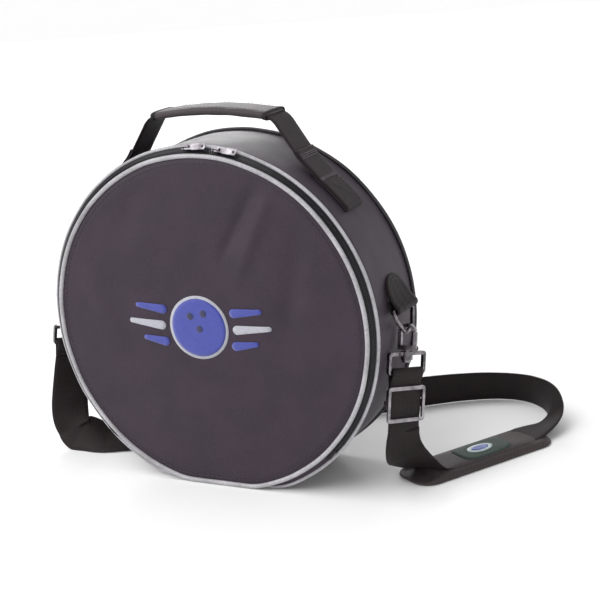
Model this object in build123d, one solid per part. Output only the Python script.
"""Round zip carry bag with a lift-down front lid, a top handle and a clip-on shoulder strap.

Frame: the drum stands on its rim. +X is to the right, +Y towards the back, +Z up. The origin is on the
floor, under the drum's axis and half way through its depth. All sizes are in millimetres.
"""
from build123d import *
from math import cos, pi, radians, sin, tan
import os

# ---- driving dimensions ----
AXIS_HEIGHT = 160.0      # drum axis above the floor; the rim is pressed flat there
BODY_RADIUS = 169.0      # outside of the gusset fabric
GUSSET_FRONT = -42.4
GUSSET_BACK = 48.8
CORNER_RADIUS = 60.0     # rounding where the round rim meets its flat foot
GAP = 0.3                # room between neighbouring layers

FABRIC = 1.4
FOAM = 5.0
LINING = 0.8
DOME = 4.2               # how far the padded faces bulge
FACE_EDGE = 51.2         # depth of both faces at their rims

FRONT_PIPING_RADIUS = 162.0
FRONT_PIPING_Y = -51.0
FRONT_PIPING_THICK = 4.4
BODY_PIPING_RADIUS = 169.8
BODY_PIPING_Y = -44.6
PIPING_THICK = 3.8
BACK_PIPING_Y = 51.0

ZIP_HALF_ANGLE = 133.0   # the zip runs this far down each side from the top
ZIP_TAPE = 0.6
ZIP_TEETH = 1.7          # height of the teeth above the tape
SLIDER_ANGLES = {"left": -2.0, "right": 8.5}
SLIDER_LENGTH = 9.0
PULL_PIN = 4.7           # height of the pull's pin above the zip tape

WEBBING = 38.0           # width of all the webbing
MID_Y = 4.0              # middle of the gusset, where handle and rings are sewn
HANDLE_POINTS = [(101.5, 299.0), (95.0, 317.0), (64.0, 350.0)]
HANDLE_CROWN = 360.0
GRIP_HALF = 59.0
ANCHOR_ANGLES = (37.6, 51.5)

RING_BAR = (175.0, 175.0)    # x and z of the bar of the right D-ring
RING_DEPTH = 23.0            # bar centre to the bottom of the D
RING_WIRE = 3.6
RING_TILT = {"left": 25.0, "right": 14.0}     # how far each ring stands out from the gusset
HOOK_TILT = {"left": 10.0, "right": -1.0}    # how far each hook leans out
HOOK_PULL = {"left": 0.0, "right": 12.0}      # how far the strap pulls each hook forwards
HOOK_Y = {"left": 4.0, "right": 1.0}          # where each hook hangs on its ring
SWIVEL_TURN = {"left": 54.0, "right": 62.0}   # strap's width direction, about the hook axis

CLAW_RADIUS = 5.4
CLAW_BAR = 3.2
CLAW_DROP = 12.0
RING_SLACK = 1.4             # play between the ring's wire and the top of the claw
GATE_PIVOT = (CLAW_RADIUS + 2.2, -CLAW_DROP - 1.9)
HOOK_THICK = 5.0
LOOP_BAR = 3.6
LOOP_SIDE = 3.0
LOOP_INNER = WEBBING + 0.8
LOOP_BOTTOM = -36.5          # height of the loop's lower bar below the claw centre

STRAP_THICK = 1.8
STRAP_TUBE = 6.0
SLIDE_DROP = 29.5            # slide centre below the loop's lower bar
SLIDE_HEIGHT = 33.0
ADJUST_LENGTH = 52.0
DOUBLED_LENGTH = 12.0
SEWN_LENGTH = 12.0

PAD_CENTRE = (217.8, 76.9)
PAD_HEADING = 57.6
PAD_LENGTH = 170.0
PAD_WIDTH = 50.0
PAD_THICK = 9.6
PAD_SLOT = 24.0
STRAP_IN_PAD = 4.8           # height of the strap's centre inside the pad

EMBLEM_CENTRE = (-6.0, 160.0)

AXIS = Axis((0, 0, AXIS_HEIGHT), (0, 1, 0))
SIGN = {"left": -1.0, "right": 1.0}


# ---- shared shapes ----
def outline(inset, radius=BODY_RADIUS, lift=0.0):
    """Cross-section of the drum, a circle with a flat foot, drawn inwards by inset."""
    foot = lift + inset
    circle = Pos(0, AXIS_HEIGHT) * Circle(radius - inset)
    below = Pos(0, foot - 200) * Rectangle(800, 400)
    shape = circle - below
    return fillet(shape.vertices().group_by(Axis.Y)[0], CORNER_RADIUS - inset)


def between(sketch, y_front, y_back):
    """Extrudes an X-Z sketch from one depth to another."""
    face = Pos(0, y_front, 0) * (Plane.XZ * sketch)
    return extrude(face, amount=-(y_back - y_front))


def ring(inset, thick, y_front, y_back):
    return between(outline(inset) - outline(inset + thick), y_front, y_back)


def piping(radius, y, thick):
    """A round cord along the rim, resting on the floor where the rim is flat."""
    path = (Plane.XZ * outline(0, radius, thick / 2)).faces()[0].outer_wire()
    path = Pos(0, y, 0) * path
    top = path @ 0
    return sweep(Plane(top, z_dir=path % 0) * Circle(thick / 2), path=path)


def domed(sketch, radius, thick, toward):
    """A face panel that bulges by DOME towards -Y (toward = -1) or +Y (toward = 1)."""
    ball = (radius ** 2 + DOME ** 2) / (2 * DOME)
    centre = toward * (FACE_EDGE + DOME - ball)
    shell = Sphere(ball) - Sphere(ball - thick)
    block = between(sketch, -70, 0) if toward < 0 else between(sketch, 0, 70)
    return block & (Pos(0, centre, AXIS_HEIGHT) * shell)


def revolved_arc(points, half_angle):
    """Turns a (radius, y) outline about the drum axis, half_angle to each side of the top."""
    face = Pos(0, 0, AXIS_HEIGHT) * make_face(Polyline(*points, close=True))
    band = revolve(face, axis=AXIS, revolution_arc=2 * half_angle)
    return band.rotate(AXIS, -half_angle - 90)


def arc_band(inner, outer, start, end):
    """Part of a ring about the drum axis, in X-Z, between two angles from the top."""
    def at(radius, angle):
        return (radius * sin(radians(angle)), AXIS_HEIGHT + radius * cos(radians(angle)))
    middle = (start + end) / 2
    edges = [
        ThreePointArc(at(inner, start), at(inner, middle), at(inner, end)),
        Line(at(inner, end), at(outer, end)),
        ThreePointArc(at(outer, end), at(outer, middle), at(outer, start)),
        Line(at(outer, start), at(inner, start)),
    ]
    return make_face(edges)


def mirrored(solid):
    return mirror(solid, about=Plane.YZ)


def sided(make):
    """The right-hand piece and its mirror image."""
    right = make()
    return {"right": right, "left": mirrored(right)}


# ---- drum ----
def body_layers():
    back = outline(0, BODY_PIPING_RADIUS - PIPING_THICK / 2 - GAP, PIPING_THICK + GAP)
    foam_inset = FABRIC + GAP
    lining_inset = foam_inset + FOAM + GAP
    back_foam = FACE_EDGE - FABRIC - GAP - FOAM
    inner = outline(lining_inset + LINING + GAP)
    return {
        "gusset_shell": ring(0, FABRIC, GUSSET_FRONT, GUSSET_BACK),
        "gusset_foam": ring(foam_inset, FOAM, GUSSET_FRONT, GUSSET_BACK - 0.5),
        "gusset_lining": ring(lining_inset, LINING, GUSSET_FRONT, GUSSET_BACK - 0.5),
        "back_panel": domed(back, BODY_PIPING_RADIUS, FABRIC, 1),
        "back_foam": between(inner, back_foam, back_foam + FOAM - 0.6),
        "back_lining": between(inner, back_foam - GAP - LINING, back_foam - GAP),
        "body_piping": piping(BODY_PIPING_RADIUS, BODY_PIPING_Y, PIPING_THICK),
        "back_piping": piping(BODY_PIPING_RADIUS, BACK_PIPING_Y, PIPING_THICK),
    }


def lid_layers():
    edge = FRONT_PIPING_THICK / 2 + GAP
    radius = FRONT_PIPING_RADIUS - edge
    panel = outline(0, radius, FRONT_PIPING_THICK + GAP)
    padding = outline(2.5, radius, FRONT_PIPING_THICK + GAP)
    foam_front = -FACE_EDGE + FABRIC + GAP
    foam_back = foam_front + FOAM - 0.6
    return {
        "front_panel": domed(panel, radius, FABRIC, -1),
        "front_foam": between(padding, foam_front, foam_back),
        "front_lining": between(padding, foam_back + GAP, foam_back + GAP + LINING),
        "front_piping": piping(FRONT_PIPING_RADIUS, FRONT_PIPING_Y, FRONT_PIPING_THICK),
    }


def hinge_strip():
    """Fabric along the foot that joins the lid's edge to the body's edge."""
    band = outline(1.0, 167.0) - outline(2.0, 167.0)
    low = Pos(0, 16) * Rectangle(260, 36)
    return between(band & low, -48.5, -46.9)


# ---- zip ----
ZIP_START = Vector(FRONT_PIPING_RADIUS, FRONT_PIPING_Y)
ZIP_RUN = Vector(BODY_PIPING_RADIUS, BODY_PIPING_Y) - ZIP_START
ZIP_ACROSS = ZIP_RUN.normalized()
ZIP_OUT = Vector(ZIP_ACROSS.Y, -ZIP_ACROSS.X)
ZIP_MIDDLE = ZIP_RUN.length / 2


def zip_point(across, out):
    """(radius, y) of a point across the zip from the lid piping, and out from the tape."""
    point = ZIP_START + ZIP_ACROSS * across + ZIP_OUT * out
    return (point.X, point.Y)


def zip_band(across_from, across_to, out_from, out_to, half_angle=ZIP_HALF_ANGLE):
    corners = [(across_from, out_from), (across_to, out_from), (across_to, out_to), (across_from, out_to)]
    return revolved_arc([zip_point(*corner) for corner in corners], half_angle)


def zip_track():
    lid_edge = FRONT_PIPING_THICK / 2 + GAP
    body_edge = ZIP_RUN.length - PIPING_THICK / 2 - GAP
    tape = ZIP_TAPE / 2
    inner = 0.5
    return {
        "lid_zip_tape": zip_band(lid_edge, ZIP_MIDDLE - inner, -tape, tape),
        "lid_zip_teeth": zip_band(ZIP_MIDDLE - 2.2, ZIP_MIDDLE - inner, tape, tape + ZIP_TEETH),
        "body_zip_tape": zip_band(ZIP_MIDDLE + inner, body_edge, -tape, tape),
        "body_zip_teeth": zip_band(ZIP_MIDDLE + inner, ZIP_MIDDLE + 2.2, tape, tape + ZIP_TEETH),
    }


def zip_stops():
    """Metal staples that close both ends of the zip, on the body's side."""
    stop = zip_band(ZIP_MIDDLE + 0.4, ZIP_MIDDLE + 2.6, -0.6, 2.4, 0.9)
    angle = ZIP_HALF_ANGLE + 1.1
    return Compound(children=[stop.rotate(AXIS, angle), stop.rotate(AXIS, -angle)])


def zip_plane():
    """Plane on the zip at the top: X along the zip, Y towards the body, Z out of the bag."""
    radius, y = zip_point(ZIP_MIDDLE, 0)
    return Plane((0, y, AXIS_HEIGHT + radius), x_dir=(1, 0, 0), z_dir=(0, ZIP_OUT.Y, ZIP_OUT.X))


def slider(angle):
    """Zip slider: two plates and a post between the rows of teeth, with a bail for its pull.

    The upper plate covers the body's teeth only, so the lid's teeth can lift out of it.
    """
    top = Pos(0, -0.1, 2.3) * Box(SLIDER_LENGTH, 3.3, 1.0, align=(Align.CENTER, Align.MIN, Align.MIN))
    bottom = Pos(0, -2.4, -1.7) * Box(SLIDER_LENGTH, 5.6, 1.0, align=(Align.CENTER, Align.MIN, Align.MIN))
    post = Pos(0, 0, -0.8) * Box(4.0, 0.4, 3.3, align=(Align.CENTER, Align.CENTER, Align.MIN))
    bail_face = Rectangle(7.4, 3.2) - Rectangle(5.0, 1.6)
    bail = extrude(Plane.XZ * bail_face, amount=0.8, both=True)
    bail = Pos(0, 1.4, 3.3 + 1.4) * bail
    body = top + bottom + post + bail
    return (zip_plane() * body).rotate(AXIS, angle)


def pull(angle):
    """Flat zip pull that hangs on the slider's bail and lies along the zip."""
    arms = Rectangle(7.0, 5.6) - Pos(-0.3, 0) * Rectangle(5.2, 2.4)
    tab = Pos(13.2, 0) * (RectangleRounded(15.0, 6.4, 1.6) - Pos(4.6, 0) * Circle(1.3))
    plate = extrude(Pos(2.7, 0) * arms + tab, amount=0.55, both=True)
    piece = Pos(0, 1.4, PULL_PIN) * plate
    return (zip_plane() * piece).rotate(AXIS, angle)


# ---- handle ----
def handle_path(points):
    mirror_points = [(-x, z) for x, z in reversed(points)]
    corners = points + [(0, HANDLE_CROWN)] + mirror_points
    corner_radius = {(95.0, 317.0): 14.0, (64.0, 350.0): 10.0, (0, HANDLE_CROWN): 300.0}
    inside = corners[1:-1]
    radii = [corner_radius[(abs(x), z)] for x, z in inside]
    flat = FilletPolyline(*corners, radius=radii)
    return Pos(0, MID_Y, 0) * (Plane.XZ * flat)


def along(path, sketch):
    start = Plane(path @ 0, x_dir=(0, 1, 0), z_dir=path % 0)
    return sweep(start * sketch, path=path)


def grip_path():
    slope = (HANDLE_CROWN - HANDLE_POINTS[-1][1]) / HANDLE_POINTS[-1][0]
    end = (GRIP_HALF, HANDLE_CROWN - slope * GRIP_HALF)
    return handle_path([end])


def carry_handle():
    web = along(handle_path(HANDLE_POINTS), Rectangle(WEBBING, 2.0))
    path = grip_path()
    wrap = along(path, RectangleRounded(41.0, 7.0, 2.0) - Rectangle(39.0, 5.2))
    pads = Pos(0, 1.75) * Rectangle(36, 0.9) + Pos(0, -1.75) * Rectangle(36, 0.9)
    foam = Compound(children=[along(path, face) for face in pads.faces()])
    return {"handle_webbing": web, "handle_grip": wrap, "grip_foam": foam}


def anchors():
    low, high = ANCHOR_ANGLES
    def one():
        patch = arc_band(BODY_RADIUS + GAP, BODY_RADIUS + 2.2, low, high)
        return between(patch, MID_Y - WEBBING / 2, MID_Y + WEBBING / 2)
    return sided(one)


# ---- side rings ----
def ring_tabs():
    """Round-topped webbing tab, sewn to the gusset and looped round the ring's bar."""
    bar_x, bar_z = RING_BAR
    def one():
        patch = arc_band(BODY_RADIUS + GAP, BODY_RADIUS + 2.6, 74.0, 84.0)
        eye = Pos(bar_x, bar_z) * Circle(3.7)
        link = make_face(Polyline((169.6, 176.6), (171.4, 181.5), (175.2, 178.7), (173.4, 172.0), close=True))
        hole = Pos(bar_x, bar_z) * Circle(RING_WIRE / 2 + GAP)
        profile = patch + link + eye - hole
        block = between(profile, MID_Y - WEBBING / 2, MID_Y + WEBBING / 2)
        dome = Pos(MID_Y, 185) * Circle(WEBBING / 2) + Pos(MID_Y, 165) * Rectangle(WEBBING, 40)
        mask = extrude(Plane.YZ * dome, amount=200)
        return block & mask
    return sided(one)


def d_ring(side):
    """Wire D, hanging from its bar and tilted out from the gusset."""
    half = WEBBING / 2 + RING_WIRE / 2 + 0.6
    low = -RING_DEPTH
    corners = [(-half, 0), (half, 0), (half, -8), (9, low), (-9, low), (-half, -8)]
    centre = make_face(Polyline(*corners, close=True))
    centre = fillet(centre.vertices().group_by(Axis.Y)[-1], 2.1)
    centre = fillet([corner for corner in centre.vertices() if corner.Y < -7], 5.0)
    flat = offset(centre, RING_WIRE / 2) - offset(centre, -RING_WIRE / 2)
    wire = extrude(Plane.YZ * flat, amount=RING_WIRE / 2, both=True)
    wire = fillet(wire.edges().filter_by(lambda edge: abs(edge.center().X) > RING_WIRE / 2 - 0.1), 1.3)
    tilted = Rot(0, -RING_TILT[side], 0) * wire
    placed = Pos(RING_BAR[0], MID_Y, RING_BAR[1]) * tilted
    return placed if side == "right" else mirrored(placed)


# ---- snap hooks ----
def hook_place(side):
    """Frame at the claw's centre: X outwards, Y to the back, Z up along the hook."""
    tilt = radians(RING_TILT[side])
    apex_x = RING_BAR[0] + RING_DEPTH * sin(tilt)
    apex_z = RING_BAR[1] - RING_DEPTH * cos(tilt)
    lean = radians(HOOK_TILT[side])
    below = CLAW_RADIUS - RING_SLACK - RING_WIRE / 2
    x = SIGN[side] * (apex_x + below * sin(lean))
    z = apex_z - below * cos(lean)
    turned_out = Rot(0, -SIGN[side] * HOOK_TILT[side], 0) * Rot(-HOOK_PULL[side], 0, 0)
    return Pos(x, HOOK_Y[side], z) * turned_out


def in_hook_frame(side, solid):
    return hook_place(side) * solid


def hook_body(side):
    """Claw, gate cheeks and swivel shank. The claw opens outwards."""
    outer_radius = CLAW_RADIUS + CLAW_BAR
    foot = CLAW_DROP + 4.0
    outer = Circle(outer_radius) + Pos(0, -foot / 2) * Rectangle(2 * outer_radius, foot)
    inner = Circle(CLAW_RADIUS) + Pos(0, -CLAW_DROP / 2) * Rectangle(2 * CLAW_RADIUS, CLAW_DROP)
    mouth = Pos(CLAW_RADIUS + 2.5, 0.6 - CLAW_DROP / 2) * Rectangle(7.0, CLAW_DROP + 2.2)
    pivot = Pos(*GATE_PIVOT) * Circle(2.7)
    claw = extrude(Plane.XZ * (outer - inner - mouth + pivot), amount=HOOK_THICK / 2, both=True)
    slot = Pos(CLAW_RADIUS + 3.0, 0, -CLAW_DROP - 1.7) * Box(7.8, 3.2, 7.0)
    pin = Pos(GATE_PIVOT[0], 0, GATE_PIVOT[1]) * Rot(90, 0, 0) * Cylinder(0.7, HOOK_THICK)
    shank = Pos(0, 0, -foot - 4.6) * Cylinder(2.8, 9.4)
    head = Pos(0, 0, -foot - 10.1) * Cylinder(4.2, 2.0)
    solid = claw - slot + pin + shank + head
    if side == "left":
        solid = mirrored(solid)
    return in_hook_frame(side, solid)


def gate(side):
    length = 2.2 - GATE_PIVOT[1] - 1.0
    shape = Circle(1.75) + Pos(0, length / 2) * Rectangle(3.4, length) - Circle(0.9)
    solid = extrude(Plane.XZ * (Pos(*GATE_PIVOT) * shape), amount=1.3, both=True)
    if side == "left":
        solid = mirrored(solid)
    return in_hook_frame(side, solid)


def turned(side, solid):
    """Turns a piece about the hook's axis, so its width follows the strap."""
    return in_hook_frame(side, Rot(0, 0, SWIVEL_TURN[side]) * solid)


def swivel(side):
    """Webbing loop with a collar that the hook's shank turns in."""
    foot = CLAW_DROP + 4.0
    top = -foot - 3.2
    height = top - LOOP_BOTTOM
    centre = (top + LOOP_BOTTOM) / 2
    outer = RectangleRounded(LOOP_INNER + 2 * LOOP_SIDE, height + LOOP_BAR, 3.0)
    inner = RectangleRounded(LOOP_INNER, height - LOOP_BAR, 0.6)
    loop = extrude(Plane.XZ * (Pos(0, centre) * (outer - inner)), amount=LOOP_BAR / 2, both=True)
    collar = Pos(0, 0, -foot - 5.0) * Cylinder(5.6, 7.8)
    bore = Pos(0, 0, -foot - 5.0) * Cylinder(3.0, 12)
    clear = Pos(0, 0, -foot - 11.3) * Cylinder(6.0, 4.8)
    return turned(side, loop + collar - bore - clear)


# ---- shoulder strap ----
def strap_end(side, doubled, single):
    """Webbing looped round the swivel's lower bar: two layers, then one."""
    outside = LOOP_BAR + 2 * (GAP + STRAP_THICK)
    bar = Pos(0, LOOP_BOTTOM) * RectangleRounded(outside, outside, 2.2)
    hole = Pos(0, LOOP_BOTTOM) * Rectangle(LOOP_BAR + 2 * GAP, LOOP_BAR + 2 * GAP)
    top = LOOP_BOTTOM - LOOP_BAR / 2 - 1.0
    layers = Pos(0.9, top - doubled / 2) * Rectangle(2 * STRAP_THICK, doubled)
    profile = bar + layers - hole
    if single > 0:
        profile += Pos(0, top - (doubled + single) / 2) * Rectangle(STRAP_THICK, doubled + single)
    return turned(side, extrude(Plane.YZ * profile, amount=WEBBING / 2, both=True))


def strap_slide():
    """Tri-glide: upper and lower bars before the webbing, middle bar behind it."""
    centre = LOOP_BOTTOM - SLIDE_DROP
    wide = LOOP_INNER + 2 * 3.0
    front = extrude(Plane.XZ * (Pos(0, centre) * RectangleRounded(wide, SLIDE_HEIGHT, 3.0)), amount=1.9)
    window = extrude(Plane.XZ * (Pos(0, centre) * Rectangle(LOOP_INNER, SLIDE_HEIGHT - 7.0)), amount=1.9)
    frame = Pos(0, -1.2, 0) * (front - window)
    sides = []
    for sign in (-1, 1):
        sides.append(Pos(sign * (LOOP_INNER + 3.0) / 2, 0, centre) * Box(3.0, 6.0, 8.0))
    middle = Pos(0, 2.1, centre) * Box(wide, 1.8, 3.6)
    return turned("right", frame + sides[0] + sides[1] + middle)


def strap_tail():
    """End of the webbing, looped round the slide's middle bar and sewn behind the strap."""
    centre = LOOP_BOTTOM - SLIDE_DROP
    layer = Pos(0, 4.2, centre + 5.0) * Box(WEBBING, 1.5, 17.0)
    return turned("right", layer)


def pad_plane():
    """Plane on the floor under the pad, X along the pad away from the slide."""
    heading = radians(PAD_HEADING)
    return Plane((*PAD_CENTRE, 0), x_dir=(cos(heading), sin(heading), 0), z_dir=(0, 0, 1))


def along_pad(distance, aside=0.0, height=STRAP_IN_PAD):
    """Point at a distance from the pad's near end, measured along it."""
    return (pad_plane() * Pos(distance - PAD_LENGTH / 2, aside, height)).position


def shoulder_pad():
    """Padded sleeve: cover, foam and badge. The strap enters by a slot in the top."""
    low = (Align.CENTER, Align.CENTER, Align.MIN)
    cover = extrude(RectangleRounded(PAD_LENGTH, PAD_WIDTH, 18.0), amount=PAD_THICK)
    cavity = extrude(RectangleRounded(PAD_LENGTH - 3, PAD_WIDTH - 3, 16.5), amount=PAD_THICK - 2.0)
    tunnel = Pos(0, 0, STRAP_IN_PAD) * Box(PAD_LENGTH + 10, 14.0, STRAP_TUBE + 1.0)
    inlet = Pos(PAD_SLOT / 2 - PAD_LENGTH / 2 - 2, 0, 1.3) * Box(PAD_SLOT + 4, 42.0, 12.0, align=low)
    wall = Box(1.5, PAD_WIDTH - 1.0, PAD_THICK - 1.5, align=low)
    wall = Pos(PAD_SLOT + 0.75 - PAD_LENGTH / 2, 0, 1.0) * wall
    hollow = Pos(0, 0, 1.0) * cavity
    shell = cover - hollow + wall - tunnel - inlet
    foam = extrude(RectangleRounded(PAD_LENGTH - 3.6, PAD_WIDTH - 3.6, 16.2), amount=PAD_THICK - 2.6)
    keep = Pos(PAD_SLOT / 2 + 1.2, 0, -1) * Box(PAD_LENGTH - PAD_SLOT - 1.2, PAD_WIDTH, 30, align=low)
    foam = (Pos(0, 0, 1.3) * foam - tunnel) & keep
    badge = Pos(4, 0, PAD_THICK + GAP) * extrude(Ellipse(17, 9), amount=0.9)
    place = pad_plane()
    return {"shoulder_pad": place * shell, "pad_foam": place * foam, "pad_badge": place * badge}


def strap_route():
    """Centreline of the webbing from the left loop, behind the bag, through the pad, to the right loop."""
    first, second = strap_ends()
    points = [
        first,
        (-200.0, 4.5, 82.0),
        (-202.0, 2.5, 62.0),
        (-200.0, -3.0, 42.0),
        (-194.0, -6.0, 27.0),
        (-184.0, -5.0, 19.0),
        (-166.0, 2.0, 15.0),
        (-146.0, 12.0, 12.0),
        (-124.0, 25.0, 8.0),
        (-103.0, 42.0, 6.0),
        (-81.0, 62.0, 6.0),
        (-56.0, 84.0, 8.0),
        (-24.0, 102.0, 12.0),
        (14.0, 118.0, 17.0),
        (53.0, 142.0, 19.0),
        (90.0, 172.0, 19.0),
        (124.0, 200.0, 19.0),
        (160.0, 224.0, 19.0),
        (194.0, 238.0, 19.0),
        (224.0, 238.0, 19.0),
        (247.0, 222.0, 18.0),
        (260.0, 198.0, 12.0),
        along_pad(184.0, 0.0),
        along_pad(140.0, 1.0),
        along_pad(93.0, -1.0),
        along_pad(46.0, 0.5),
        along_pad(-2.0, 0.0),
        (173.0, -10.0, 38.0),
        second,
    ]
    return [Vector(*point) for point in points]


def strap_ends():
    """Centres of the webbing's lower faces on the sewn end and on the adjuster end."""
    top = LOOP_BOTTOM - LOOP_BAR / 2 - 1.0
    ends = []
    for side, reach in (("left", SEWN_LENGTH), ("right", ADJUST_LENGTH)):
        place = hook_place(side) * Rot(0, 0, SWIVEL_TURN[side])
        aside = 0.9 if side == "left" else 0.0
        ends.append((place * Pos(0, aside, top - reach - GAP)).position)
    return ends


def corner_radii(points):
    radii = []
    for before, corner, after in zip(points, points[1:], points[2:]):
        run_in = corner - before
        run_out = after - corner
        half_turn = radians(run_in.get_angle(run_out)) / 2
        radii.append(0.45 * min(run_in.length, run_out.length) / tan(half_turn))
    return radii


def strap_tube():
    points = strap_route()
    radii = corner_radii(points)
    path = FilletPolyline(*points, radius=radii)
    tube = sweep(Plane(path @ 0, z_dir=path % 0) * Circle(STRAP_TUBE / 2), path=path)
    area = pi * STRAP_TUBE ** 2 / 4
    print("strap bend radii", [round(radius) for radius in radii])
    print("strap length", round(path.length), "volume ratio", round(tube.volume / (area * path.length), 4))
    return tube


# ---- emblem ----
def emblem():
    """Plain sewn emblem: a ball with three holes between two wings of stripes."""
    x, z = EMBLEM_CENTRE
    ball = Circle(31.0)
    for hole_x, hole_z in ((-8, 11), (6, 14), (1, -1)):
        ball -= Pos(hole_x, hole_z) * Circle(4.2)
    stripes = []
    for sign in (-1, 1):
        for height, length in ((16.0, 34.0), (0.0, 40.0), (-16.0, 28.0)):
            inner = 33.5 if height else 36.0
            stripes.append(Pos(sign * (inner + length / 2), height) * RectangleRounded(length, 9.0, 3.0))
    solids = [between(Pos(x, z) * shape, -56.6, -55.8) for shape in [ball] + stripes]
    return Compound(children=solids)


def write(nodes):
    os.makedirs("parts", exist_ok=True)
    for name, shape in nodes.items():
        export_step(shape, os.path.join("parts", name + ".step"))


def main():
    nodes = {}
    nodes.update(body_layers())
    nodes.update(lid_layers())
    nodes["lid_hinge_strip"] = hinge_strip()
    nodes.update(zip_track())
    nodes["zip_stops"] = zip_stops()
    nodes.update(carry_handle())
    nodes["emblem"] = emblem()
    nodes["strap_fixed_end"] = strap_end("left", SEWN_LENGTH, 0.0)
    nodes["strap_adjust_end"] = strap_end("right", DOUBLED_LENGTH, ADJUST_LENGTH - DOUBLED_LENGTH)
    nodes["strap_slide"] = strap_slide()
    nodes["strap_tail"] = strap_tail()
    nodes["shoulder_strap"] = strap_tube()
    nodes.update(shoulder_pad())
    handle_anchors = anchors()
    tabs = ring_tabs()
    for side in ("left", "right"):
        nodes["zip_slider_" + side] = slider(SLIDER_ANGLES[side])
        nodes["zip_pull_" + side] = pull(SLIDER_ANGLES[side])
        nodes["handle_anchor_" + side] = handle_anchors[side]
        nodes["ring_tab_" + side] = tabs[side]
        nodes["d_ring_" + side] = d_ring(side)
        nodes["snap_hook_" + side] = hook_body(side)
        nodes["hook_gate_" + side] = gate(side)
        nodes["swivel_loop_" + side] = swivel(side)
    write(nodes)


main()
